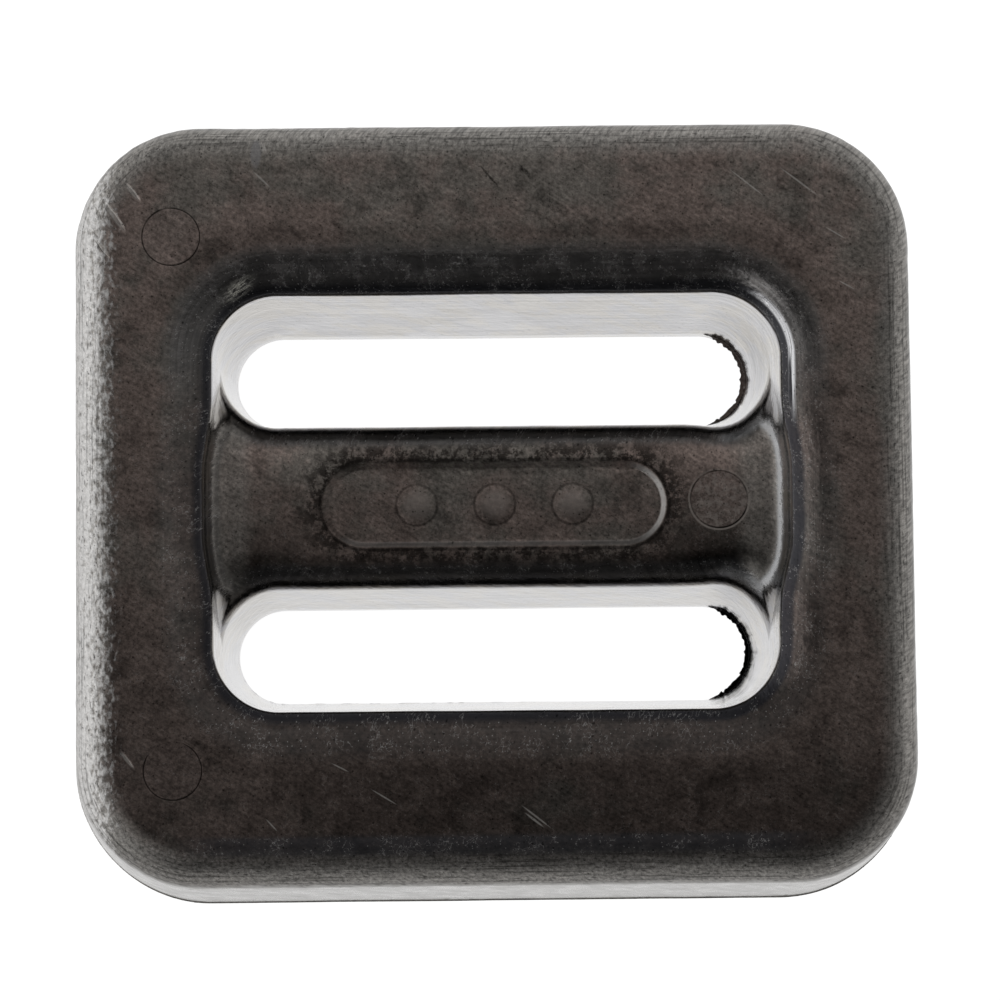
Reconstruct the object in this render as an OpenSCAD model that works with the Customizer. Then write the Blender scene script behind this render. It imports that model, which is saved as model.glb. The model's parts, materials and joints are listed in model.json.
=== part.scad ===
// Dive-belt weight: one lead casting, shaped like a buckle.
// A thick rounded frame holds two long slots for belt webbing, with a
// lower bar between them that the belt passes over.
// The back face lies on z = 0 and the marked front face looks up (+Z).
// The slots run along X. All sizes are in millimetres.

/* [Body] */
// Length along the slots, at the parting line
body_l = 88.2; // [84:0.1:100]
// Width across the slots, at the parting line
body_w = 80.6; // [76:0.1:92]
// Thickness, back face to front face
body_t = 25.8; // [22:0.1:30]
// Plan radius of the outer corners, at the parting line
corner_r = 14.2; // [11:0.1:16]
// Height of the parting line above the back face
parting_z = 4.5; // [4.2:0.1:6]
// Draft of the outer walls, in degrees
draft = 4.5; // [3:0.5:6]
// Radius of the front outer edge
front_r = 4.6; // [3.5:0.1:6]
// Radius of the back outer edge
back_r = 3.4; // [2:0.1:3.6]

/* [Belt slots] */
// Length of a slot at its narrowest, for the webbing's width
slot_l = 54; // [52:0.1:58]
// Opening of a slot at its narrowest
slot_w = 10; // [8:0.1:10.6]
// Distance between the two slots' centre lines
slot_pitch = 29.1; // [28:0.1:31]
// Draft of the slots' walls, in degrees
slot_draft = 5; // [3:0.5:6]
// Large radius that rolls the front face down to the slots
roll_r1 = 8; // [6:0.5:9]
// Small radius where that roll turns into the slot wall
roll_r2 = 0.9; // [0.5:0.1:1.2]
// Tilt at which the large radius ends, in degrees
roll_tilt = 38; // [30:1:42]
// Radius of the slots' edges at the back
slot_back_r = 2.4; // [1:0.1:3]

/* [Bar] */
// How far the bar's face lies below the front face
bar_drop = 5.2; // [4:0.1:6]
// Radius of the bar's long edges
bar_r = 3; // [2:0.1:3.4]

/* [Mark panel] */
// Length of the sunk panel on the bar
panel_l = 35.4; // [28:0.1:38]
// Height of the sunk panel
panel_w = 8.8; // [7:0.1:9]
// Depth of the sunk panel
panel_depth = 0.5; // [0.3:0.05:0.8]
// Slope width of the panel's sides
panel_slope = 0.6; // [0.3:0.05:0.9]
// Radius of one raised mass pip
pip_r = 1.9; // [1:0.1:2.5]
// Height of a pip above the panel's floor
pip_h = 0.3; // [0.15:0.05:0.45]
// Distance between pips
pip_pitch = 8; // [6:0.5:9]
// Number of pips, one for each half kilogram
pip_count = 3; // [1:1:4]

/* [Ejector marks] */
// Radius of the round ejector marks
eject_r = 3; // [2:0.1:3.5]
// Depth of the ejector marks
eject_depth = 0.15; // [0.1:0.05:0.3]
// Offset of the two frame marks from the centre along X
eject_x = 32.7; // [31:0.1:34]
// Offset of the two frame marks from the centre along Y
eject_y = 27.1; // [25:0.1:28]
// Offset of the bar's mark from the centre along X
eject_bar_x = 23; // [21:0.1:24]

/* [Hidden] */
$fn = 96;

clearance = 1;       // how far a cut runs past the face it opens
bar_end_lap = 3.4;   // how far the bar's ends run past the slots' ends into the frame
bar_side_gap = 0.5;  // from the sides of the bar's blank to the slots' centre lines
eject_bar_y = 0.3;   // offset of the bar's mark along Y
pip_sink = 0.2;      // depth of a pip's foot below the panel's floor
pip_taper = 0.15;    // added to a pip's radius at its foot, taken off at its top

// Centres of the outer corners and of the slots' round ends
corner_x = body_l / 2 - corner_r;
corner_y = body_w / 2 - corner_r;
slot_r = slot_w / 2;
slot_end_x = slot_l / 2 - slot_r;
slot_y = slot_pitch / 2;

bar_z = body_t - bar_drop;
panel_z = bar_z - panel_depth;

// Section directions, as [outwards, up]: square to the outer walls above and
// below the parting line, square to the slot wall, and where the large roll ends
wall_dir = [cos(draft), sin(draft)];
low_wall_dir = [cos(draft), -sin(draft)];
slot_dir = [-cos(slot_draft), sin(slot_draft)];
roll_dir = [-sin(roll_tilt), cos(roll_tilt)];

// Front edge circle: tangent to the drafted wall and to the front face
front_c = [
    corner_r - (front_r + (body_t - front_r - parting_z) * sin(draft)) / cos(draft),
    body_t - front_r
];
// Back edge circle: tangent to the lower wall and to the back face
back_c = [corner_r + ((back_r - parting_z) * sin(draft) - back_r) / cos(draft), back_r];

// Distance of a slot's drafted wall from its centre line at height z
function slot_wall_x(z) = slot_r + (z - parting_z) * tan(slot_draft);

// Roll from the front face into the slot wall, as two tangent arcs
roll_step = roll_r1 - roll_r2;
roll_end_z = body_t - roll_r1 + roll_step * cos(roll_tilt) + roll_r2 * sin(slot_draft);
roll_c1 = [
    slot_wall_x(roll_end_z) + roll_step * sin(roll_tilt) + roll_r2 * cos(slot_draft),
    body_t - roll_r1
];
roll_c2 = roll_c1 + roll_step * roll_dir;

// Rounded long edge of the bar, where it meets a slot
bar_edge_end_z = bar_z - bar_r + bar_r * sin(slot_draft);
bar_edge_c = [slot_wall_x(bar_edge_end_z) + bar_r * cos(slot_draft), bar_z - bar_r];

// Back edge of a slot, below a short straight wall under the parting line
slot_back_c = [slot_r + slot_back_r, slot_back_r];
// Lower part of both slot sections, from the centre line up to the parting line
slot_back_points = [
    [0, -clearance],
    [slot_back_c[0], -clearance],
    [slot_back_c[0], 0],
    [slot_r, slot_back_r],
    [slot_r, parting_z]
];

// Part of a disc between the first and last of the given directions
module sector(centre, radius, directions) {
    translate(centre) intersection() {
        circle(r = radius);
        polygon([[0, 0], for (d = directions) 2 * radius * d]);
    }
}

// Quarter disc that rounds a slot's back edge
module slot_back_edge() {
    translate(slot_back_c) intersection() {
        circle(r = slot_back_r);
        translate([-2 * slot_back_r, -2 * slot_back_r]) square(2 * slot_back_r);
    }
}

// Half section of the block, from a corner's centre outwards
module block_section() {
    polygon([
        [0, 0],
        [back_c[0], 0],
        back_c + back_r * low_wall_dir,
        [corner_r, parting_z],
        front_c + front_r * wall_dir,
        [front_c[0], body_t],
        [0, body_t]
    ]);
    sector(front_c, front_r, [[0, 1], [1, 1], wall_dir]);
    sector(back_c, back_r, [low_wall_dir, [1, -1], [0, -1]]);
}

// Half section of the frame's opening, from a corner's centre outwards
module opening_section() {
    difference() {
        polygon(concat(slot_back_points, [
            roll_c2 + roll_r2 * slot_dir,
            roll_c1 + roll_r1 * roll_dir,
            [roll_c1[0], body_t],
            [roll_c1[0], body_t + clearance],
            [0, body_t + clearance]
        ]));
        sector(roll_c1, roll_r1, [[0, 1], roll_dir]);
        sector(roll_c2, roll_r2, [roll_dir, slot_dir]);
        slot_back_edge();
    }
}

// Half section of the space beside the bar, from a slot's centre line
module beside_bar_section() {
    difference() {
        polygon(concat(slot_back_points, [
            bar_edge_c + bar_r * slot_dir,
            [bar_edge_c[0], bar_z],
            [bar_edge_c[0], bar_z + clearance],
            [0, bar_z + clearance]
        ]));
        sector(bar_edge_c, bar_r, [[0, 1], [-1, 1], slot_dir]);
        slot_back_edge();
    }
}

// Turns a half section about a centre, and runs it straight back from the turn's start
module turn_and_side(centre, start, angle, side) {
    translate(centre) rotate([0, 0, start]) {
        rotate_extrude(angle = angle) children();
        rotate([90, 0, 0]) linear_extrude(side) children();
    }
}

// Carries a half section round a rectangle, and fills the rectangle from z0 to z1
module round_rectangle(half_x, half_y, z0, z1) {
    // Corner x and y, start angle, length of the side
    for (c = [
        [half_x, half_y, 0, 2 * half_y],
        [-half_x, half_y, 90, 2 * half_x],
        [-half_x, -half_y, 180, 2 * half_y],
        [half_x, -half_y, 270, 2 * half_x]
    ])
        turn_and_side([c[0], c[1], 0], c[2], 90, c[3]) children();
    translate([-half_x, -half_y, z0]) cube([2 * half_x, 2 * half_y, z1 - z0]);
}

// Carries a half section round a slot whose end centres lie at -half_x and half_x
module round_slot(half_x) {
    turn_and_side([half_x, 0, 0], 270, 180, 2 * half_x) children();
    turn_and_side([-half_x, 0, 0], 90, 180, 2 * half_x) children();
}

// Thick rounded frame with its open middle
module frame_ring() {
    difference() {
        round_rectangle(corner_x, corner_y, 0, body_t) block_section();
        round_rectangle(slot_end_x, slot_y, -clearance, body_t + clearance) opening_section();
    }
}

// Lower bar between the slots, flaring into the frame at both ends
module centre_bar() {
    half_x = slot_end_x + slot_r + bar_end_lap;
    half_y = slot_y - bar_side_gap;
    difference() {
        translate([-half_x, -half_y, 0]) cube([2 * half_x, 2 * half_y, bar_z]);
        for (side = [-1, 1])
            translate([0, side * slot_y, 0]) round_slot(slot_end_x) beside_bar_section();
    }
}

// Sunk panel with sloped sides and round ends
module mark_panel() {
    end_r = panel_w / 2;
    round_slot(panel_l / 2 - end_r) polygon([
        [0, panel_z],
        [end_r - panel_slope, panel_z],
        [end_r, bar_z],
        [end_r, bar_z + clearance],
        [0, bar_z + clearance]
    ]);
}

// Row of raised pips, one for each half kilogram
module mass_pips() {
    for (i = [0 : pip_count - 1])
        translate([(i - (pip_count - 1) / 2) * pip_pitch, 0, panel_z - pip_sink])
            cylinder(r1 = pip_r + pip_taper, r2 = pip_r - pip_taper, h = pip_h + pip_sink);
}

// Shallow discs that the ejector pins leave: two on the frame, one on the bar
module ejector_marks() {
    for (place = [
        [-eject_x, -eject_y, body_t],
        [-eject_x, eject_y, body_t],
        [eject_bar_x, eject_bar_y, bar_z]
    ])
        translate(place - [0, 0, eject_depth]) cylinder(r = eject_r, h = clearance);
}

// The whole weight: a single solid casting
module lead_casting() {
    color([0.23, 0.21, 0.20]) {
        difference() {
            union() {
                frame_ring();
                centre_bar();
            }
            mark_panel();
            ejector_marks();
        }
        mass_pips();
    }
}

lead_casting();
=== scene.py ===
"""Lead belt weight: one cast piece, a rounded block with a sunk pocket, two through slots and a bar.

It lies on its back on z = 0, centred on the z axis: its length runs along x and its width along y.
The front faces +z, upper means +y and left means -x. The shape is a signed distance in
millimetres, meshed here, with a procedural oxidised-lead finish that also has light and
shade painted into its colour.
"""

import json
import math
from itertools import product
from types import SimpleNamespace

import bpy
import numpy as np
from mathutils import Matrix, Vector


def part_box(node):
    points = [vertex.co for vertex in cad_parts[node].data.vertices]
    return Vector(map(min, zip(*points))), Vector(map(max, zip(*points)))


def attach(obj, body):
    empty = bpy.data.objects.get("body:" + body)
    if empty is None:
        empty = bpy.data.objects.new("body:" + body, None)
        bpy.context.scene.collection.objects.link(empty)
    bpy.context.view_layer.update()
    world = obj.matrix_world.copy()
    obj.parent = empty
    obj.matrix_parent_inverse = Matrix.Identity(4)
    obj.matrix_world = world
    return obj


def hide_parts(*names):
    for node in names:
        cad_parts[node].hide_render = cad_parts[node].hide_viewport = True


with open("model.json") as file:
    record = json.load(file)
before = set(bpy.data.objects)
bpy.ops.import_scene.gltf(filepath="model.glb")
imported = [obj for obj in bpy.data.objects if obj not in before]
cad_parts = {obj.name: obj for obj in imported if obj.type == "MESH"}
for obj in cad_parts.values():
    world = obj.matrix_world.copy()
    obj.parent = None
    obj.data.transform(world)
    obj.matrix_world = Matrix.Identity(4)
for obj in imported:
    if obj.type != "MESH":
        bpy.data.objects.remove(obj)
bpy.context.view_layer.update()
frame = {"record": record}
NODE = "lead_casting"

# ---------------------------------------------------------------- sizes in millimetres
node_low, node_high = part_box(NODE)
LENGTH, WIDTH, HEIGHT = [(node_high[i] - node_low[i]) * 1000.0 for i in range(3)]
upper_slot = next(m for m in frame["record"]["mounts"] if m["name"] == "upper_slot")
SLOT_Y = upper_slot["pos_m"][1] * 1000.0
PARTING_Z = 4.5
DRAFT = math.radians(4.5)  # of the outer walls
SLOT_DRAFT = math.radians(5.0)
SIN_OUT, COS_OUT = math.sin(DRAFT), math.cos(DRAFT)
SIN_SLOT, COS_SLOT, TAN_SLOT = math.sin(SLOT_DRAFT), math.cos(SLOT_DRAFT), math.tan(SLOT_DRAFT)
CORNER_R = 14.2  # in plan
FRONT_R, BACK_R = 4.6, 3.4  # the outer edges
SLOT_R, SLOT_L = 5.0, 54.0
SLOT_BACK_R = 2.4
ROLL_R = 8.0  # the wide roll from the front face into the pocket
LIP_R = 0.9  # the tight lip below it
ROLL_TILT = math.radians(38.0)  # where the roll turns into the lip
BAR_Z, BAR_EDGE_R = HEIGHT - 5.2, 3.8
CORNER_X, CORNER_Y = LENGTH / 2 - CORNER_R, WIDTH / 2 - CORNER_R
SLOT_END_X = SLOT_L / 2 - SLOT_R  # centres of the slots' round ends
PANEL_L, PANEL_R, PANEL_DEPTH = 35.4, 4.4, 0.5
PIP_PITCH, PIP_R, PIP_H = 8.0, 1.9, 0.3
EJECT_FRAME = ((-32.7, 27.1), (-32.7, -27.1))  # ejector marks on the frame
EJECT_BAR = (23.0, 0.3)

# centres of the edge radii, as (rho, z)
FRONT_C = (
    CORNER_R - (FRONT_R + (HEIGHT - FRONT_R - PARTING_Z) * SIN_OUT) / COS_OUT,
    HEIGHT - FRONT_R,
)
BACK_C = (CORNER_R + ((BACK_R - PARTING_Z) * SIN_OUT - BACK_R) / COS_OUT, BACK_R)
LIP_IN = (ROLL_R - LIP_R) * math.sin(ROLL_TILT)
LIP_UP = (ROLL_R - LIP_R) * math.cos(ROLL_TILT)
LIP_Z = HEIGHT - ROLL_R + LIP_UP + LIP_R * SIN_SLOT  # the lip meets the slot wall
ROLL_C = (
    SLOT_R + (LIP_Z - PARTING_Z) * TAN_SLOT + LIP_IN + LIP_R * COS_SLOT,
    HEIGHT - ROLL_R,
)
LIP_C = (ROLL_C[0] - LIP_IN, ROLL_C[1] + LIP_UP)
BAR_WALL_Z = BAR_Z - BAR_EDGE_R + BAR_EDGE_R * SIN_SLOT  # the bar's edge meets the slot wall
BAR_C = (
    SLOT_R + (BAR_WALL_Z - PARTING_Z) * TAN_SLOT + BAR_EDGE_R * COS_SLOT,
    BAR_Z - BAR_EDGE_R,
)


# ---------------------------------------------------------------- seeded smooth noise
lattices = {}


def noise3(x, y, z, freq, seed):
    """Smooth value noise from -1 to 1, with features about 1 / freq mm across."""
    if seed not in lattices:
        rng = np.random.default_rng(seed)
        lattices[seed] = rng.uniform(-1, 1, 32768).astype(np.float32)
    lattice = lattices[seed]
    place = [np.asarray(v, np.float32) * freq + 500.0 for v in (x, y, z)]
    cell = [np.floor(v).astype(np.int64) for v in place]
    part = [v - k for v, k in zip(place, cell)]
    part = [v * v * v * (v * (v * 6 - 15) + 10) for v in part]
    out = 0.0
    for a, b, c in product((0, 1), repeat=3):
        entry = (
            ((cell[0] + a) & 31) + ((cell[1] + b) & 31) * 32 + ((cell[2] + c) & 31) * 1024
        )
        weight_x, weight_y, weight_z = [
            v if far else 1 - v for v, far in zip(part, (a, b, c))
        ]
        out = out + weight_x * weight_y * weight_z * lattice[entry]
    return out


def smooth(start, end, v):
    t = np.clip((v - start) / (end - start), 0, 1)
    return t * t * (3 - 2 * t)


# ---------------------------------------------------------------- signed distance, negative inside
# rho is a distance in plan, measured outward from a rectangle or from a slot's middle line
def rho_rect(x, y, half_x, half_y):
    over_x, over_y = np.abs(x) - half_x, np.abs(y) - half_y
    outside = np.hypot(np.maximum(over_x, 0), np.maximum(over_y, 0))
    return outside + np.minimum(np.maximum(over_x, over_y), 0)


def rho_slot(x, y):
    return np.hypot(np.maximum(np.abs(x) - SLOT_END_X, 0), np.abs(y) - SLOT_Y)


def rho_pocket(x, y):
    """Plan distance for the pocket, which is fuller on the right and at both ends of the bar."""
    rho = rho_rect(x, y, SLOT_END_X, SLOT_Y)
    right = smooth(SLOT_END_X - 3, SLOT_END_X + 4, x)
    rho = rho - 0.5 * right * smooth(-13, -5, y) * (1 - smooth(15, 24, y))
    ends = smooth(SLOT_END_X - 1, SLOT_END_X + 4.5, np.abs(x))
    return rho - 0.9 * ends * (1 - smooth(3.0, 10.5, np.abs(y)))


def rounded_edge(out, up, radius, flat, wall):
    """A flat facing up and a drafted wall, joined by a radius centred where out and up are 0."""
    wedge = (out >= 0) & (COS_OUT * up - SIN_OUT * out >= 0)
    return np.where(wedge, np.hypot(out, up) - radius, np.maximum(flat, wall))


def slot_wall(rho, z):
    return -(rho - SLOT_R) * COS_SLOT + (z - PARTING_Z) * SIN_SLOT


def slot_foot(rho, z):
    """Solid beside an opening, below the parting line: straight wall, rounded back edge."""
    out, up = rho - (SLOT_R + SLOT_BACK_R), z - SLOT_BACK_R
    edge = np.hypot(out, up) - SLOT_BACK_R
    return np.where((out < 0) & (up < 0), edge, np.maximum(-z, SLOT_R - rho))


def eject_relief(x, y, centre):
    r = np.hypot(x - centre[0], y - centre[1])
    return 0.02 * (1 - smooth(2.7, 3.05, r))


def bar_relief(x, y):
    """Depth of the sunk panel, its raised pips and the ejector mark in the bar's face."""
    rho = np.hypot(np.maximum(np.abs(x) - (PANEL_L / 2 - PANEL_R), 0), y)
    out = PANEL_DEPTH * (1 - smooth(PANEL_R - 0.75, PANEL_R + 0.05, rho))
    for pip_x in (-PIP_PITCH, 0.0, PIP_PITCH):
        dome = 1 - ((x - pip_x) ** 2 + y**2) / (PIP_R + 0.2) ** 2
        out = out - PIP_H * np.clip(dome, 0, 1)
    return out + eject_relief(x, y, EJECT_BAR)


def outer_side(x, y, z, top):
    rho = rho_rect(x, y, CORNER_X, CORNER_Y)
    out, rise = (rho - CORNER_R) * COS_OUT, (z - PARTING_Z) * SIN_OUT
    return np.maximum(
        rounded_edge(rho - FRONT_C[0], z - FRONT_C[1], FRONT_R, top, out + rise),
        rounded_edge(rho - BACK_C[0], -(z - BACK_C[1]), BACK_R, -z, out - rise),
    )


def frame_side(rho, z, top):
    """The frame's inner side: a wide roll from the front face, a tight lip, a drafted wall."""
    sin_roll, cos_roll = math.sin(ROLL_TILT), math.cos(ROLL_TILT)
    solid = np.maximum(top, slot_wall(rho, z))
    out, up = rho - ROLL_C[0], z - ROLL_C[1]
    on_roll = (out <= 0) & (up * sin_roll + out * cos_roll >= 0) & (up > 0)
    solid = np.where(on_roll, np.hypot(out, up) - ROLL_R, solid)
    out, up = rho - LIP_C[0], z - LIP_C[1]
    on_lip = (up * sin_roll + out * cos_roll < 0) & (up * COS_SLOT + out * SIN_SLOT >= 0)
    solid = np.where(on_lip, np.hypot(out, up) - LIP_R, solid)
    return np.maximum(solid, slot_foot(rho, z))


def bar_side(x, y, z, rho_in, opening):
    """The bar, a lower flat face rolled over into each slot, and how far its skin faces up."""
    # the slots' upper walls follow the pocket's fuller places
    fuller = rho_rect(x, y, SLOT_END_X, SLOT_Y) - rho_in
    rho = opening - fuller * smooth(PARTING_Z + 3.0, BAR_Z - 1.5, z)
    # a rough patch low on one side of the lower slot
    rough = noise3(x, y, 0 * x, 1.7, 13) + 0.4 * noise3(x, y, 0 * x, 4.0, 14)
    rough = np.maximum(rough, 0) * smooth(PARTING_Z + 1.6, PARTING_Z + 0.2, z)
    wall = slot_wall(rho, z) - 0.22 * rough * (y < -SLOT_Y - 2.5) * smooth(6, -6, x)
    out, up = rho - BAR_C[0], z - BAR_C[1]
    on_edge = (out < 0) & (up * COS_SLOT + out * SIN_SLOT >= 0)
    face = z - BAR_Z + bar_relief(x, y)
    reach = np.hypot(out, up)
    bar = np.where(on_edge, reach - BAR_EDGE_R, np.maximum(face, wall))
    facing = np.where(face > wall, 1.0, SIN_SLOT)
    facing = np.where(on_edge, up / np.maximum(reach, 1e-6), facing)
    return np.maximum(bar, slot_foot(opening, z)), facing


def add_flash(solid, x, y, z, opening):
    """Parting-line flash: a bead round the outside, a ragged web at each slot's right end."""
    rho = rho_rect(x, y, CORNER_X, CORNER_Y)
    bead_r = 0.17 + 0.05 * np.sin(x * 0.31 + 1.0) * np.cos(y * 0.27)
    bead = np.hypot(rho - CORNER_R + 0.02, (z - PARTING_Z) * 1.15) - bead_r
    solid = np.minimum(solid, bead)
    right = smooth(SLOT_END_X - 0.6, SLOT_END_X + 2.6, x)
    ragged = noise3(x, y, 0 * x, 1.1, 11) * 0.14 + noise3(x, y, 0 * x, 3.3, 12) * 0.16
    width = -0.3 + (0.74 + ragged) * right
    web = np.maximum(np.abs(z - PARTING_Z) - 0.13, (SLOT_R - width) - opening)
    return np.minimum(solid, np.where((opening < SLOT_R + 1.5) & (right > 0), web, 9.0))


def casting(x, y, z):
    top = z - HEIGHT + sum(eject_relief(x, y, centre) for centre in EJECT_FRAME)
    rho_in, opening = rho_pocket(x, y), rho_slot(x, y)
    side = frame_side(rho_in, z, top)
    bar, facing = bar_side(x, y, z, rho_in, opening)
    # a fillet where the bar's face meets the frame, fading out down the bar's rolled edges
    fillet = 2.0 * (1 - smooth(8.5, 13.5, np.abs(y))) * smooth(0.2, 0.95, facing) + 1e-4
    blend = fillet - np.hypot(np.maximum(fillet - side, 0), np.maximum(fillet - bar, 0))
    near = (side < fillet) & (bar < fillet) & (blend < np.minimum(side, bar))
    inner = np.where(near, blend, np.minimum(side, bar))
    solid = np.maximum(outer_side(x, y, z, top), inner)
    return add_flash(solid, x, y, z, opening)


def surface_shift(x, y, z):
    """How far the skin stands off the drawn shape: slow waves, and a rougher rim."""
    shift = (
        0.030 * noise3(x, y, z, 0.085, 1)
        + 0.014 * noise3(x, y, z, 0.24, 2)
        + 0.006 * noise3(x, y, z, 0.7, 3)
    )
    shift = shift * smooth(-0.2, 1.2, z)  # the back lies flat
    rho = rho_rect(x, y, CORNER_X, CORNER_Y)
    rim = smooth(CORNER_R - 5.5, CORNER_R - 2.0, rho) * smooth(HEIGHT - 9, HEIGHT - 4, z)
    return shift + rim * 0.018 * noise3(x, y, z, 1.25, 4) * (1 + 0.8 * (x < 0))


def shape(points):
    x, y, z = points[:, 0], points[:, 1], points[:, 2]
    return casting(x, y, z) - surface_shift(x, y, z)


def gradient(points, eps):
    slope = np.empty_like(points)
    for k in range(3):
        ahead, behind = points.copy(), points.copy()
        ahead[:, k] += eps
        behind[:, k] -= eps
        slope[:, k] = (shape(ahead) - shape(behind)) / (2 * eps)
    return slope


def settle(points, passes=2, eps=0.03, limit=0.25):
    """Moves points onto the surface, by no more than limit in each pass."""
    for _ in range(passes):
        distance = shape(points)
        slope = gradient(points, eps)
        steepness = np.maximum((slope * slope).sum(1), 0.05)
        step = -(distance / steepness)[:, None] * slope
        size = np.linalg.norm(step, axis=1, keepdims=True)
        points = points + step * np.minimum(1, limit / np.maximum(size, 1e-9))
    return points


# ---------------------------------------------------------------- meshing
def ticks(bands):
    """Grid positions from bands of (start, end, step)."""
    out = [np.array([bands[0][0]])]
    for start, end, step in bands:
        count = max(1, int(round((end - start) / step)))
        out.append(np.linspace(start, end, count + 1)[1:])
    return np.concatenate(out)


def sample(xs, ys, zs):
    """The casting's distance at every grid point, worked out in slabs to save memory."""
    values = np.empty((len(xs), len(ys), len(zs)), np.float32)
    grid_y, grid_z = np.meshgrid(ys, zs, indexing="ij")
    for i in range(0, len(xs), 24):
        grid_x = xs[i : i + 24][:, None, None] + 0 * grid_y[None]
        values[i : i + 24] = casting(grid_x, grid_y[None] + 0 * grid_x, grid_z[None] + 0 * grid_x)
    return values


def surface_nets(xs, ys, zs):
    """One point in each cell that the surface crosses, and a quad round each crossed edge."""
    axes = (xs, ys, zs)
    nx, ny, nz = [len(positions) for positions in axes]
    values = sample(xs, ys, zs)
    inside = values < 0
    count = np.zeros((nx - 1, ny - 1, nz - 1), np.uint8)
    for a, b, c in product((0, 1), repeat=3):
        count += inside[a : nx - 1 + a, b : ny - 1 + b, c : nz - 1 + c]
    active = (count > 0) & (count < 8)
    cells = np.nonzero(active)
    index = np.full(active.shape, -1, np.int64)
    index[cells] = np.arange(len(cells[0]))

    # each point is the mean of the crossings on its cell's edges
    total, hits = np.zeros((len(cells[0]), 3)), np.zeros(len(cells[0]))
    for axis in range(3):
        side_1, side_2 = [k for k in range(3) if k != axis]
        for a, b in product((0, 1), repeat=2):
            start = list(cells)
            start[side_1] = start[side_1] + a
            start[side_2] = start[side_2] + b
            end = list(start)
            end[axis] = end[axis] + 1
            value_a, value_b = values[tuple(start)], values[tuple(end)]
            cross = (value_a < 0) != (value_b < 0)
            t = np.where(cross, value_a / np.where(cross, value_a - value_b, 1), 0)
            for k in range(3):
                place_a, place_b = axes[k][start[k]], axes[k][end[k]]
                total[:, k] += np.where(cross, place_a + t * (place_b - place_a), 0)
            hits += cross

    quads = []
    for axis in range(3):
        side_1, side_2 = [(1, 2), (2, 0), (0, 1)][axis]
        low, high = [slice(None)] * 3, [slice(None)] * 3
        low[axis], high[axis] = slice(0, -1), slice(1, None)
        start, end = inside[tuple(low)], inside[tuple(high)]
        where = np.array(np.nonzero(start != end)).T
        forward = start[tuple(where.T)]
        ring = []
        for back_1, back_2 in ((1, 1), (0, 1), (0, 0), (1, 0)):
            cell = where.copy()
            cell[:, side_1] -= back_1
            cell[:, side_2] -= back_2
            ring.append(index[tuple(cell.T)])
        quad = np.array(ring).T
        quad[~forward] = quad[~forward][:, ::-1]
        quads.append(quad)
    return total / hits[:, None], np.concatenate(quads)


def add_object(name, data):
    obj = bpy.data.objects.new(name, data)
    bpy.context.scene.collection.objects.link(obj)
    return obj


def add_mesh(name, points, faces):
    mesh = bpy.data.meshes.new(name)
    mesh.from_pydata(points, [], faces)
    return add_object(name, mesh)


def reduce_mesh(points, faces, target, plain):
    """Fewer triangles where the surface is plain; none may go where plain is 0."""
    obj = add_mesh("reduce", points.tolist(), faces.tolist())
    group = obj.vertex_groups.new(name="plain")
    for level in np.unique(plain):
        group.add(np.nonzero(plain == level)[0].tolist(), float(level), "REPLACE")
    decimate = obj.modifiers.new("reduce", "DECIMATE")
    decimate.vertex_group = "plain"
    decimate.vertex_group_factor = 1.0
    decimate.ratio = min(1.0, target / (2 * len(faces)))
    bpy.context.view_layer.update()
    depsgraph = bpy.context.evaluated_depsgraph_get()
    done = bpy.data.meshes.new_from_object(obj.evaluated_get(depsgraph))
    coords = np.zeros(len(done.vertices) * 3, np.float32)
    done.vertices.foreach_get("co", coords)
    done.calc_loop_triangles()
    triangles = np.zeros(len(done.loop_triangles) * 3, np.int32)
    done.loop_triangles.foreach_get("vertices", triangles)
    source_mesh = obj.data
    bpy.data.objects.remove(obj)
    bpy.data.meshes.remove(source_mesh)
    bpy.data.meshes.remove(done)
    return coords.reshape(-1, 3).astype(np.float64), triangles.reshape(-1, 3)


def plainness(points):
    """0 on the tight rolls into the slots, 1 elsewhere."""
    x, y, z = points.T
    rho_in, rho = rho_pocket(x, y), rho_slot(x, y)
    lip = (rho_in > 6.2) & (rho_in < 7.6) & (z > LIP_Z - 1.2)
    bar_edge = (rho > SLOT_R + 0.9) & (rho < BAR_C[0] - 0.4)
    bar_edge = bar_edge & (rho_in < 6.6) & (z > BAR_Z - BAR_EDGE_R)
    return np.where(lip | bar_edge, 0.0, 1.0)


def casting_arrays():
    """Points in millimetres, their outward normals, and faces."""
    step = 0.27
    fine = 0.55
    end_x, end_y = LENGTH / 2 + 1.1, WIDTH / 2 + 1.1
    web_x = (SLOT_END_X - 1.0, SLOT_END_X + SLOT_R + 0.4)
    panel_step = step * max(fine, 0.6)
    xs = ticks([
        (-end_x, -41.5, step), (-41.5, -35.0, step * fine), (-35.0, -18.2, step),
        (-18.2, 18.2, panel_step), (18.2, web_x[0], step),
        (web_x[0], web_x[1], step * 0.5), (web_x[1], end_x, step),
    ])
    ys = ticks([
        (-end_y, -4.9, step), (-4.9, 4.9, panel_step), (4.9, 24.0, step),
        (24.0, 38.0, step * max(fine, 0.75)), (38.0, end_y, step),
    ])
    zs = ticks([
        (-0.7, PARTING_Z - 0.5, 0.42), (PARTING_Z - 0.5, PARTING_Z + 0.5, 0.1),
        (PARTING_Z + 0.5, BAR_Z - 3.2, 0.55), (BAR_Z - 3.2, BAR_Z - 0.8, step),
        (BAR_Z - 0.8, BAR_Z + 0.3, 0.5 * step), (BAR_Z + 0.3, HEIGHT - 3.0, step),
        (HEIGHT - 3.0, HEIGHT + 0.6, 0.8 * step),
    ])
    points, faces = surface_nets(xs, ys, zs)
    points = settle(points)
    points, faces = reduce_mesh(points, faces, 190000, plainness(points))
    points = settle(points)
    slope = gradient(points, 0.04)
    size = np.linalg.norm(slope, axis=1, keepdims=True)
    return points, slope / np.maximum(size, 1e-9), faces


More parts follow.
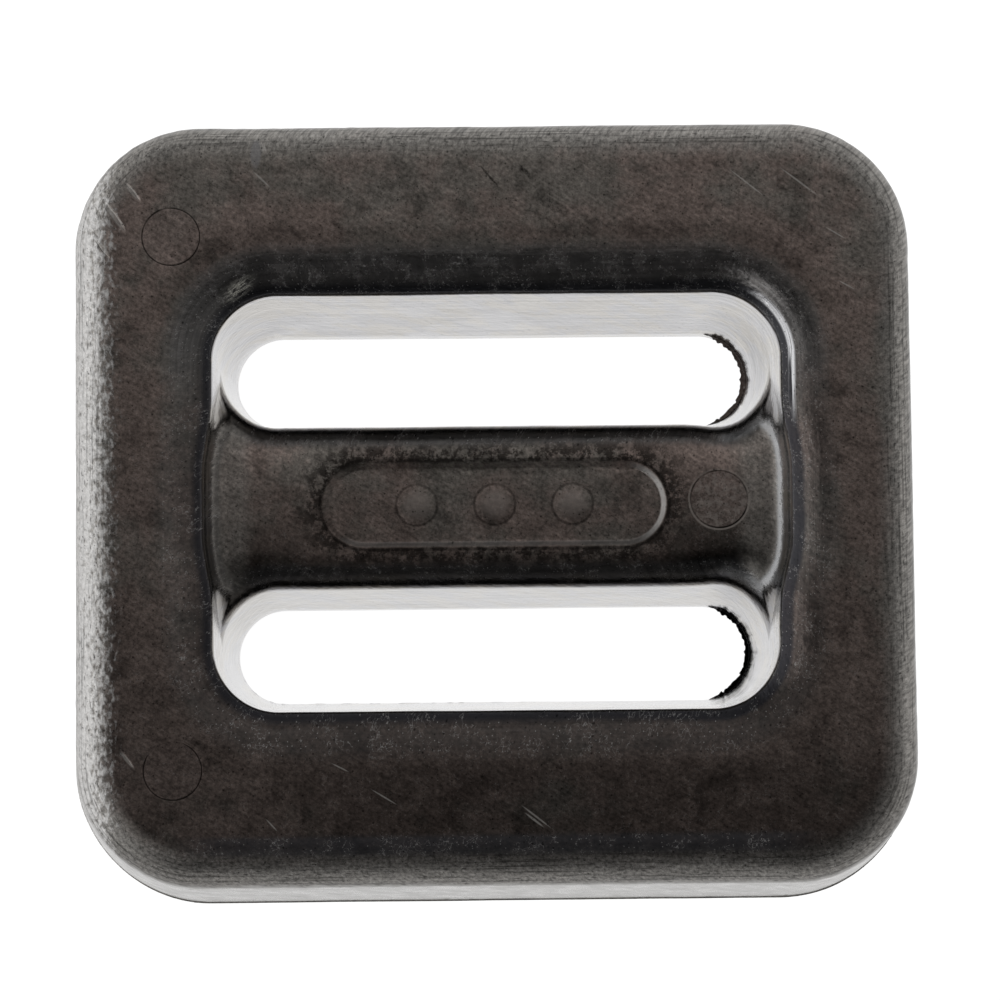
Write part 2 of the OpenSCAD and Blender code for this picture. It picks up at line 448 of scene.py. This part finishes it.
def build_weight():
    points, normals, faces = casting_arrays()
    obj = add_mesh("weight_casting", (points / 1000.0).tolist(), faces.tolist())
    mesh = obj.data
    mesh.update()
    mesh.shade_smooth()
    mesh.normals_split_custom_set_from_vertices(normals.tolist())
    x, y, z = points.T
    hollow = 1 - shape(points + normals * 0.9) / 0.9  # above 0 in inside corners
    ridge = 1 + shape(points - normals * 1.1) / 1.1  # above 0 on outside edges
    above_parting = smooth(PARTING_Z + 3, PARTING_Z + 7, z)
    attributes = {
        "hollow": np.clip(hollow, 0, 1) * above_parting,
        "ridge": np.clip(ridge, 0, 1),
        "rho_out": rho_rect(x, y, CORNER_X, CORNER_Y),
        "rho_in": rho_pocket(x, y),
        "rho_line": rho_rect(x, y, SLOT_END_X, SLOT_Y),
    }
    for name, values in attributes.items():
        layer = mesh.attributes.new(name, "FLOAT", "POINT")
        layer.data.foreach_set("value", np.asarray(values, np.float32))
    return obj


# ---------------------------------------------------------------- shader nodes
def empty_tree(owner):
    owner.use_nodes = True
    owner.node_tree.nodes.clear()
    return owner.node_tree


def add_node(tree, kind, inputs={}, **settings):
    """A node with its properties set, and its inputs linked to Values or set to constants."""
    node = tree.nodes.new(kind)
    for name, value in settings.items():
        setattr(node, name, value)
    for key, value in inputs.items():
        if isinstance(value, Value):
            tree.links.new(value.socket, node.inputs[key])
        else:
            node.inputs[key].default_value = value
    return node


def make(tree, kind, output=0, inputs={}, **settings):
    """One output of a new node."""
    return Value(tree, add_node(tree, kind, inputs, **settings).outputs[output])


class Value:
    """An output socket; arithmetic and the methods below add nodes to its tree."""

    def __init__(self, tree, socket):
        self.tree = tree
        self.socket = socket

    def math(self, operation, *inputs):
        inputs = dict(enumerate(inputs))
        return make(self.tree, "ShaderNodeMath", inputs=inputs, operation=operation)

    def __add__(self, other):
        return self.math("ADD", self, other)

    def __radd__(self, other):
        return self.math("ADD", other, self)

    def __sub__(self, other):
        return self.math("SUBTRACT", self, other)

    def __rsub__(self, other):
        return self.math("SUBTRACT", other, self)

    def __mul__(self, other):
        return self.math("MULTIPLY", self, other)

    def __abs__(self):
        return self.math("ABSOLUTE", self)

    def ramp(self, start, end, low=0.0, high=1.0, kind="SMOOTHSTEP"):
        """Goes from low to high as this value goes from start to end."""
        inputs = dict(enumerate((self, start, end, low, high)))
        return make(
            self.tree, "ShaderNodeMapRange", inputs=inputs,
            interpolation_type=kind, clamp=kind != "LINEAR",
        )

    def vary(self, low, high):
        """Spreads a noise's usual range, 0.3 to 0.7, from low to high."""
        return self.ramp(0.3, 0.7, low, high, "LINEAR")

    def near(self, middle, inner, outer, peak=1.0):
        """Peak within inner of middle, falling to 0 at outer."""
        return abs(self - middle).ramp(inner, outer, peak, 0.0)

    def mix(self, under, over):
        """Lays one vector or colour over another by this amount."""
        inputs = {0: self, 4: under, 5: over}
        return make(self.tree, "ShaderNodeMix", 1, inputs, data_type="VECTOR")

    def tint(self, colour):
        """The colour scaled by this value."""
        inputs = {0: colour, "Scale": self}
        return make(self.tree, "ShaderNodeVectorMath", 0, inputs, operation="SCALE")

    def measure(self, operation, *others):
        inputs = dict(enumerate((self, *others)))
        return make(self.tree, "ShaderNodeVectorMath", "Value", inputs, operation=operation)

    def split(self):
        node = add_node(self.tree, "ShaderNodeSeparateXYZ", {0: self})
        return [Value(self.tree, socket) for socket in node.outputs]

    def noise(self, scale, detail, roughness, shift=(0, 0, 0), stretch=(1, 1, 1)):
        inputs = {"Vector": self, "Scale": scale, "Detail": detail, "Roughness": roughness}
        node = add_node(self.tree, "ShaderNodeTexNoise", inputs, noise_dimensions="2D")
        node.texture_mapping.translation = shift
        node.texture_mapping.scale = stretch
        return Value(self.tree, node.outputs[0])

    def cells(self, scale, shift=(0, 0, 0)):
        """Distance to the nearest of scattered points, and a random number for each point."""
        inputs = {"Vector": self, "Scale": scale}
        node = add_node(
            self.tree, "ShaderNodeTexVoronoi", inputs, feature="F1", voronoi_dimensions="2D"
        )
        node.texture_mapping.translation = shift
        colour = Value(self.tree, node.outputs["Color"])
        pick = make(self.tree, "ShaderNodeSeparateColor", inputs={0: colour})
        return Value(self.tree, node.outputs["Distance"]), pick

    def streak(self, ax, ay, bx, by, half):
        """A leaf-shaped mark in plan from a to b: 1 in its middle, 0 at its edge."""
        node = add_node(
            self.tree, "ShaderNodeTexGradient", {"Vector": self}, gradient_type="SPHERICAL"
        )
        mapping = node.texture_mapping
        mapping.vector_type = "TEXTURE"
        mapping.translation = ((ax + bx) / 2, (ay + by) / 2, 0.0)
        mapping.rotation = (0.0, 0.0, math.atan2(by - ay, bx - ax))
        mapping.scale = (math.hypot(bx - ax, by - ay) / 2 + half, half, 1.0)
        return Value(self.tree, node.outputs["Fac"])


def most(first, *others):
    for other in others:
        first = first.math("MAXIMUM", first, other)
    return first


def least(first, *others):
    for other in others:
        first = first.math("MINIMUM", first, other)
    return first


def join(x, y):
    """A vector in plan."""
    return make(x.tree, "ShaderNodeCombineXYZ", inputs={0: x, 1: y, 2: 0.0})


def spots(cells, inner, outer, pick_start, pick_end):
    """Spots full within inner and gone at outer, in cells picked by their random number."""
    distance, pick = cells
    return distance.ramp(inner, outer, 1.0, 0.0) * pick.ramp(pick_start, pick_end)


# ---------------------------------------------------------------- oxidised cast lead, with painted light and shade
# marks on the front: (ax, ay, bx, by, half width), all in mm
NICKS = (
    (-37.30, 32.60, -35.88, 30.84, 0.34), (-39.38, 30.64, -37.35, 27.64, 0.40),
    (-40.34, 26.81, -38.92, 24.95, 0.20), (-38.00, -25.00, -36.60, -26.80, 0.26),
    (-23.60, 36.90, -23.30, 35.90, 0.28),
)
SCRATCHES = (
    (-24.41, 33.87, -22.49, 32.00, 0.13), (-37.00, 32.55, -35.75, 30.85, 0.13),
    (-39.18, 30.55, -37.25, 27.95, 0.15), (-39.98, 26.75, -38.85, 25.20, 0.11),
    (-23.30, 36.90, -22.95, 35.70, 0.10), (23.86, 33.89, 27.99, 30.56, 0.10),
    (28.97, 34.06, 33.70, 30.41, 0.12), (-12.99, -28.99, -9.99, -30.82, 0.10),
    (2.13, -30.73, 5.44, -33.33, 0.12), (2.55, -31.55, 4.64, -33.18, 0.14),
    (-16.89, -26.39, -14.89, -27.42, 0.10), (-23.44, -31.89, -22.15, -33.30, 0.10),
    (33.77, 27.66, 36.19, 26.20, 0.10), (35.10, 22.10, 36.91, 21.06, 0.10),
)
# the same, with the strength last
SMEARS = (
    (-1.40, 34.40, 0.85, 31.75, 0.17, 1.0), (2.70, 34.30, 4.10, 32.75, 0.30, 0.95),
    (4.06, 31.34, 7.90, 29.04, 0.75, 0.5), (-30.87, -23.99, -28.63, -25.02, 0.6, 0.5),
)
SCUFF = (-27.3, 20.9, -24.6, 22.8, 1.1)  # on the pocket's upper left corner
DING = (-24.1, 34.2, -24.0, 37.0, 0.8)  # on the upper edge


def lead_regions(tree):
    """Coordinates in mm, and masks from 0 to 1 for the parts of the casting."""
    at = SimpleNamespace()
    place = make(tree, "ShaderNodeTexCoord", "Object")
    inputs = {0: place, "Scale": 1000.0}
    place = make(tree, "ShaderNodeVectorMath", 0, inputs, operation="SCALE")
    x, y, z = at.x, at.y, at.z = place.split()
    up = at.up = abs(make(tree, "ShaderNodeNewGeometry", "Normal").split()[2])
    rho_out, rho_in, rho_line, at.hollow = [
        make(tree, "ShaderNodeAttribute", "Fac", attribute_name=name)
        for name in ("rho_out", "rho_in", "rho_line", "hollow")
    ]
    at.rho_in = rho_in
    at.flat = join(x, y)
    # a sheared plan, so that patterns also vary down the walls
    at.sheared = join(x + z * 0.41, y + z * 0.53)

    at.front = z.ramp(15.0, 17.0)
    at.wall_in = up.ramp(0.3, 0.8, 1.0, 0.0) * rho_in.ramp(10.5, 9.0)
    at.wall_out = up.ramp(0.12, 0.5, 1.0, 0.0) * rho_out.ramp(10.5, 12.0)
    at.walls = most(at.wall_in, at.wall_out)
    at.rim = rho_out.ramp(8.4, 11.2)
    at.off_bar = rho_in.ramp(6.2, 6.6)
    at.on_bar = 1.0 - at.off_bar
    at.roll = rho_in.ramp(12.4, 10.0) * at.off_bar
    at.left = x.ramp(-36.5, -42.2)
    at.abs_x = abs(x)
    # distances from the panel's middle line, and from the middle of the nearest pip
    at.panel = join(most(abs(x) - (PANEL_L / 2 - PANEL_R), 0.0), y).measure("LENGTH")
    at.pip = least(
        join(x, y).measure("LENGTH"),
        join(at.abs_x - PIP_PITCH, y).measure("LENGTH"),
    )
    at.bar_roll = (
        at.on_bar * up.ramp(0.975, 0.86) * at.panel.ramp(PANEL_R + 0.1, PANEL_R + 0.6)
    )
    # where the front face turns down into the lower edge
    at.low_band = (
        at.front * rho_out.ramp(7.2, 8.1) * rho_out.ramp(10.1, 9.2)
        * y.ramp(-33.0, -34.2) * at.abs_x.ramp(34.0, 27.0)
    )
    # distance across the drag lines, which follow the outer edge and the pocket
    outside = rho_in.ramp(12.3, 12.7)
    at.across = (rho_out - z * 0.8) * outside + (rho_line + z * 0.8) * (1.0 - outside)
    return at


def slanted_noise(at, degrees, across, along, roughness):
    """Noise drawn out along a slanting direction."""
    cos, sin = math.cos(math.radians(degrees)), math.sin(math.radians(degrees))
    side = at.x * (-across * sin) + at.y * (across * cos)
    forward = at.x * (along * cos) + at.y * (along * sin)
    return join(side, forward).noise(1.0, 3, roughness)


def add_patterns(at):
    x, y, sheared = at.x, at.y, at.sheared
    at.lines = join(at.across * 2.1, (x + y) * 0.075).noise(1.0, 3, 0.62)
    at.coarse = sheared.cells(1.0)
    at.fine = sheared.cells(2.1, (5.0, 9.0, 0.0))
    at.tall = join(at.across * 1.6, (x + y) * 0.7).cells(1.0, (2.0, 4.0, 0.0))
    at.mottle = sheared.noise(0.42, 5, 0.7, (5.0, 51.0, 0.0))
    at.grain = sheared.noise(2.4, 3, 0.75)
    at.stain = sheared.noise(0.2, 4, 0.7, (81.0, 2.0, 0.0))
    at.pock = at.flat.noise(2.0, 3, 0.62, (3.0, 5.0, 0.0), (1.0, 0.62, 1.0))
    # painted light: lighter towards the top, darker towards the bottom; several colours below use it
    at.by_y = y.ramp(-34.0, 28.0, 0.53, 1.05, "LINEAR")
    hair = slanted_noise(at, -32, 3.0, 0.5, 0.7)
    at.fine_shade = hair.vary(0.80, 1.20) * at.mottle.vary(0.76, 1.24) * at.grain.vary(0.62, 1.38)


def add_marks(at):
    """Masks for the single marks, the ejector marks and the bright specks."""
    flat, front, mottle = at.flat, at.front, at.mottle
    at.scratch = most(*[flat.streak(*mark) for mark in SCRATCHES]).ramp(0.05, 0.5)
    at.smear = most(*[flat.streak(*mark[:5]).ramp(0.05, 0.6) * mark[5] for mark in SMEARS])
    at.nick = most(*[flat.streak(*mark) for mark in NICKS]).ramp(0.03, 0.6) * front
    strokes = slanted_noise(at, 34, 5.0, 0.8, 0.6)
    at.scuff = flat.streak(*SCUFF).ramp(0.0, 0.9) * strokes.ramp(0.40, 0.62) * front
    at.ding = flat.streak(*DING).ramp(0.15, 0.5) * front

    # a thin broken line round a disc that stands a hair low
    centres = (*EJECT_FRAME, EJECT_BAR)
    radius = least(*[flat.measure("DISTANCE", centre + (0.0,)) for centre in centres])
    gaps = flat.noise(0.2, 1, 0.5, (2.0, 3.0, 0.0)).ramp(0.38, 0.52, 0.0, 1.0)
    at.ring = radius.near(2.93, 0.02, 0.13) * front * gaps
    at.disc = radius.ramp(2.96, 2.86) * front

    # short curly scratches of bright metal, and bright specks painted as glints, more of both on the
    # rolled and lower edges
    curl = at.sheared.noise(1.5, 2, 0.5, (7.0, 7.0, 0.0)).near(0.5, 0.0, 0.016)
    curl = curl * mottle.ramp(0.50, 0.58)
    dim_band = most(at.roll, at.bar_roll, at.low_band, at.rim * at.y.ramp(-30.0, -38.0))
    at.shiny = (
        most(curl, spots(at.fine, 0.03, 0.16, 0.24, 0.18) * 0.8)
        * (1.0 - at.walls) * dim_band.ramp(0.0, 1.0, 0.13, 0.55)
    )


def oxide_colour(at):
    """Brown and grey-green oxide patches, with stains, and painted light and shade by place."""
    x, y, rho_in, on_bar = at.x, at.y, at.rho_in, at.on_bar
    patch = at.sheared.noise(0.085, 4, 0.62)
    tone = (
        patch * 0.7
        + at.mottle * 0.3
        + y.ramp(10.0, -30.0) * 0.11
        + at.rim * -0.06
        + rho_in.ramp(17.0, 14.8) * rho_in.ramp(11.0, 12.8) * 0.09
        + y.ramp(25.5, 28.5) * x.ramp(16.0, 4.0) * x.ramp(-30.0, -22.0) * -0.06
    ).ramp(0.38, 0.62)
    base = tone.mix((0.171, 0.155, 0.139), (0.183, 0.145, 0.129))
    bar_ends = on_bar * abs(x).ramp(16.0, 21.0, 0.45, 1.0)
    # painted light and shade: paler along the bar's upper side, darker along its lower side
    bar_painted_light = (
        1.0
        + bar_ends * y.ramp(0.5, 4.4) * y.ramp(6.6, 5.4) * 0.75
        + on_bar * y.ramp(-4.4, -7.2, 0.0, -0.55)
        + on_bar * x.ramp(13.0, 18.0) * y.ramp(-0.6, -2.8, -0.05, -0.27)
        + on_bar * at.abs_x.ramp(17.0, 21.0) * y.ramp(-0.5, -4.2, 0.0, -0.42)
    )
    # painted light and shade in this product: lighter towards the top, darker on most of the lower
    # rail, on the roll's lower part and in inside corners; grain, stains and a darker band above the
    # pocket are the lead's own
    shade = (
        at.by_y
        * at.fine_shade
        * at.stain.ramp(0.52, 0.68, 1.0, 0.66)
        * (at.roll * y.ramp(-15.0, -21.0)).ramp(0.0, 1.0, 1.0, 0.62)
        * at.hollow.ramp(0.2, 0.8, 1.0, 0.62)
        * bar_painted_light
        * (1.0 - y.ramp(-25.0, -28.0) * x.ramp(-28.0, -12.0) * 0.36)
        * (1.0 - rho_in.ramp(14.4, 12.6) * y.ramp(18.0, 22.0) * 0.28)
    )
    return shade.tint(base)


def colour_inside(at, colour):
    """The bar with its panel, and the pocket's rolled edges."""
    x, y, front, rho_in, on_bar = at.x, at.y, at.front, at.rho_in, at.on_bar
    # grime round the panel
    grime = (
        at.sheared.noise(0.75, 5, 0.78, (14.0, 60.0, 0.0)).ramp(0.43, 0.55)
        * rho_in.ramp(7.4, 5.6)
        * at.panel.ramp(PANEL_R - 0.3, PANEL_R + 0.2)
        * at.panel.ramp(PANEL_R + 4.0, PANEL_R + 0.6)
        * at.z.ramp(9.0, 12.0)
    )
    colour = (grime * 0.85).mix(colour, (0.022, 0.018, 0.016))
    # the panel's sloping border has a painted highlight on the right and below; the pips are rubbed
    slope = at.panel.near(PANEL_R - 0.38, 0.10, 0.36) * front
    slope = slope * most(x.ramp(13.0, 16.0), y.ramp(-3.0, -3.9, 0.0, 0.45))
    colour = (slope * 0.75).mix(colour, (0.40, 0.39, 0.38))
    colour = (at.pip.ramp(2.0, 0.7) * front * 0.55).mix(colour, (0.27, 0.235, 0.215))
    # the rolled edges are rubbed smoother and bluer; a painted shade makes a dark line along the
    # pocket's lip
    rubbed = (at.by_y * at.lines.vary(0.7, 1.3)).tint((0.138, 0.134, 0.133))
    rolled = most(at.roll * y.ramp(8.0, 17.0, 0.28, 0.82), at.bar_roll * 0.75)
    colour = rolled.mix(colour, rubbed)
    lip = rho_in.ramp(8.3, x.ramp(12.0, 24.0, 7.3, 7.75)) * at.off_bar
    colour = (lip * 0.85).mix(colour, (0.030, 0.031, 0.037))
    # paler bar ends, with painted light that makes them lighter at the top and darker at the bottom,
    # and a painted highlight line in the hollow at the right one
    ends = on_bar * at.abs_x.ramp(24.4, 26.2) * front
    end_grain_and_light = at.fine_shade * y.ramp(-5.0, 4.0, 0.78, 1.28)
    colour = (ends * 0.6).mix(colour, end_grain_and_light.tint((0.205, 0.192, 0.176)))
    bracket_highlight = (
        on_bar * front * at.up.ramp(0.90, 0.79) * at.up.ramp(0.54, 0.66) * x.ramp(22.5, 24.0)
    )
    colour = (bracket_highlight * 0.8).mix(colour, (0.36, 0.365, 0.375))
    # a painted glint on the pocket's lip at its upper right corner
    painted_glint = (
        front * rho_in.ramp(7.42, 7.7) * rho_in.ramp(8.3, 7.95) * x.ramp(21.5, 24.5)
        * y.ramp(7.0, 13.0) * y.ramp(21.6, 20.2) * at.lines.ramp(0.40, 0.54)
    )
    return (painted_glint * 0.9).mix(colour, (0.84, 0.84, 0.86))


def colour_outside(at, colour):
    """The outside edges and all the walls."""
    y, left, lines, grain = at.y, at.left, at.lines, at.grain
    # greyer edges, with dark drag lines, and painted light that darkens them towards the bottom and
    # lightens them on the left
    rim_grain_and_light = (
        lines.vary(1.2, 0.8) * grain.vary(0.5, 1.5)
        * y.ramp(-38.0, -24.0, 0.82, 1.0) * left.ramp(0.0, 1.0, 1.0, 1.15)
    )
    colour = (at.rim * 0.85).mix(colour, rim_grain_and_light.tint((0.26, 0.25, 0.235)))
    # the worn left side shows more metal, and it is painted paler still to stand in for the strong
    # light from the left
    wear_and_painted_light = (left + at.pock * 2.2).ramp(1.36, 2.1) * left.ramp(0.0, 0.4)
    colour = (wear_and_painted_light * 0.92).mix(colour, grain.vary(0.82, 1.18).tint((0.64, 0.63, 0.62)))
    # a painted shade along the front's lower edge
    colour = (at.low_band * 0.6).mix(colour, (0.060, 0.062, 0.070))
    # walls: barer metal, drawn smooth by the mould, slightly cloudy
    cloudy = at.stain.ramp(0.42, 0.6).mix((0.405, 0.40, 0.41), (0.43, 0.41, 0.385))
    wall_shade = lines.vary(0.86, 1.08) * (
        1.0 - y.ramp(-13.0, -11.0) * y.ramp(0.0, -5.0) * 0.15
    )
    colour = at.wall_in.mix(colour, wall_shade.tint(cloudy))
    return (at.wall_out * 0.85).mix(colour, lines.vary(0.86, 1.1).tint((0.30, 0.29, 0.28)))


def colour_marks(at, colour):
    y, front, rim = at.y, at.front, at.rim
    disc_colour = (at.by_y * at.fine_shade).tint((0.200, 0.158, 0.142))
    colour = (at.disc * 0.6).mix(colour, disc_colour)
    # the ejector mark on the bar is mottled paler inside, with a painted highlight round its edge,
    # brighter on the lower side
    radius = at.flat.measure("DISTANCE", EJECT_BAR + (0.0,))
    mottled = at.sheared.noise(1.3, 4, 0.75, (33.0, 8.0, 0.0)).ramp(0.45, 0.60, 0.0, 0.45)
    pin = radius.ramp(2.9, 2.7) * front * mottled
    painted_edge_highlight = radius.near(3.08, 0.04, 0.16) * front * y.ramp(2.6, 0.8, 0.3, 0.6)
    colour = most(pin, painted_edge_highlight).mix(colour, (0.32, 0.285, 0.26))
    colour = (at.ding * 0.4).mix(colour, (0.25, 0.253, 0.27))
    colour = at.shiny.mix(colour, (0.62, 0.61, 0.60))
    cuts = most(at.scratch * 0.45, at.nick * 0.34) * front
    colour = cuts.mix(colour, (0.55, 0.53, 0.50))
    colour = at.scuff.mix(colour, (0.80, 0.78, 0.70))
    # dark pits and drag lines, then rings, smears, and outlines of the panel and pips
    pits = most(
        spots(at.coarse, 0.03, 0.15, 0.88, 0.92),
        spots(at.fine, 0.04, 0.20, 0.88, 0.92),
    )
    dark = most(
        pits * at.walls.ramp(0.0, 1.0, 0.72, 0.4),
        spots(at.tall, 0.06, 0.28, 0.72, 0.76) * rim * at.z.ramp(13.0, 19.0, 0.15, 0.6),
        at.lines.ramp(0.56, 0.68) * rim * 0.4,
        at.ring * 0.85,
        at.smear * front * at.grain.ramp(0.35, 0.6, 0.8, 0.5),
        at.panel.near(PANEL_R + 0.16, 0.08, 0.28, peak=0.5) * front,
        at.pip.near(PIP_R + 0.2, 0.05, 0.20, peak=0.45) * front,
    )
    return (1.0 - dark).tint(colour)


def lead_roughness(at):
    rough = (
        at.mottle.vary(0.34, 0.46)
        + most(at.roll, at.bar_roll) * -0.14
        + at.walls * -0.16
        + at.rim * 0.04
        + at.scuff * -0.1
        + at.shiny * 0.5
    )
    return most(rough, 0.14)


def lead_relief(at):
    """Fine relief, in millimetres."""
    height = (
        at.sheared.noise(0.5, 2, 0.6) * 0.045
        + at.sheared.noise(2.0, 3, 0.65) * at.wall_in.ramp(0.0, 1.0, 0.020, 0.008)
        + at.pock * at.rim * at.left.ramp(0.0, 0.6, 0.03, 0.13)
        + at.lines * (at.rim * 0.015 + at.roll * 0.015 + at.walls * 0.015)
        + at.nick * -0.17
        + at.scuff * 0.03
        + at.ring * -0.03
        + at.disc * -0.012
    )
    inputs = {"Strength": 1.0, "Distance": 0.001, "Height": height}
    return make(height.tree, "ShaderNodeBump", inputs=inputs)


def lead_material():
    material = bpy.data.materials.new("oxidised_lead_and_painted_light")
    tree = empty_tree(material)
    at = lead_regions(tree)
    add_patterns(at)
    add_marks(at)
    colour = colour_inside(at, oxide_colour(at))
    colour = colour_marks(at, colour_outside(at, colour))
    lead = make(tree, "ShaderNodeBsdfPrincipled", inputs={
        "Base Color": colour,
        "Metallic": 1.0,
        "Roughness": lead_roughness(at),
        "Normal": lead_relief(at),
    })
    add_node(tree, "ShaderNodeOutputMaterial", {"Surface": lead})
    return material


weight = build_weight()
weight.data.materials.append(lead_material())
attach(weight, "root")
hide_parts(NODE)

# ---------------------------------------------------------------- floor, studio and camera, in metres
FLOOR_HALF, FLOOR_Z = 3.0, -0.00004
floor_corners = [
    (x * FLOOR_HALF, y * FLOOR_HALF, FLOOR_Z) for x, y in ((-1, -1), (1, -1), (1, 1), (-1, 1))
]
floor = add_mesh("floor", floor_corners, [(0, 1, 2, 3)])


def floor_material():
    """Seen from above a plain white sheet; seen along it, it takes a soft shadow."""
    material = bpy.data.materials.new("pale_floor")
    tree = empty_tree(material)
    steep = make(tree, "ShaderNodeNewGeometry", "Incoming").split()[2].ramp(0.86, 0.97)
    glow = make(tree, "ShaderNodeEmission", inputs={
        "Color": (1, 1, 1, 1),
        "Strength": steep.ramp(0.0, 1.0, 0.78, 1.0, "LINEAR"),
    })
    matt = make(tree, "ShaderNodeBsdfDiffuse", inputs={"Color": (0.33, 0.33, 0.33, 1)})
    both = make(tree, "ShaderNodeAddShader", inputs={0: glow, 1: matt})
    add_node(tree, "ShaderNodeOutputMaterial", {"Surface": both})
    return material


floor.data.materials.append(floor_material())

# soft round lights: (direction, full within degrees, gone at degrees, strength)
LOBES = (
    ((0.08, 0.5, 0.86), 14, 42, 0.48),
    ((0.1, 1.0, 0.36), 10, 42, 0.26),
    ((1.0, 0.1, 0.5), 20, 60, 0.26),
    ((-1.0, 0.0, 0.12), 14, 64, 1.15),
    ((-0.39, -0.51, 0.766), 4, 12, 2.4),
)
AMBIENT, HORIZON = 0.085, 0.62


def build_world():
    """The studio lights the scene; the camera itself sees plain white."""
    world = bpy.data.worlds.new("studio")
    bpy.context.scene.world = world
    tree = empty_tree(world)
    inputs = {0: make(tree, "ShaderNodeTexCoord", "Generated")}
    view = make(tree, "ShaderNodeVectorMath", 0, inputs, operation="NORMALIZE")
    level = AMBIENT + view.split()[2].ramp(0.42, 0.0, 0.0, 1.0) * HORIZON
    for direction, inner, outer, strength in LOBES:
        facing = view.measure("DOT_PRODUCT", tuple(Vector(direction).normalized()))
        cos_outer, cos_inner = math.cos(math.radians(outer)), math.cos(math.radians(inner))
        level = level + facing.ramp(cos_outer, cos_inner) * strength
    camera_ray = make(tree, "ShaderNodeLightPath", "Is Camera Ray")
    shown = camera_ray * 1.0 + (1.0 - camera_ray) * level
    background = make(tree, "ShaderNodeBackground", inputs={"Strength": shown})
    add_node(tree, "ShaderNodeOutputWorld", {"Surface": background})


build_world()

YAW, PITCH = math.radians(0.83), math.radians(5.32)
CAMERA_ROLL = 0.0092  # radians
CAMERA_Z = 0.44184
AIM = (0.00078, 0.00192, 0.0045)

camera_data = bpy.data.cameras.new("camera")
camera = add_object("camera", camera_data)
camera_data.sensor_width = 36.0
camera_data.lens = 148.77
backward = Vector((-math.tan(YAW), -math.tan(PITCH), 1.0)).normalized()
level_right = Vector((1, 0, 0)) - backward * backward.x
level_right.normalize()
level_up = backward.cross(level_right)
right = level_right * math.cos(CAMERA_ROLL) - level_up * math.sin(CAMERA_ROLL)
right = right.normalized()
rotation = Matrix((right, backward.cross(right), backward)).transposed().to_4x4()
eye = Vector(AIM) + backward * (CAMERA_Z - AIM[2]) / backward.z
camera.matrix_world = Matrix.Translation(eye) @ rotation
camera_data.clip_start = 0.01
camera_data.clip_end = 20
bpy.context.scene.camera = camera
bpy.context.scene.view_settings.view_transform = "Standard"
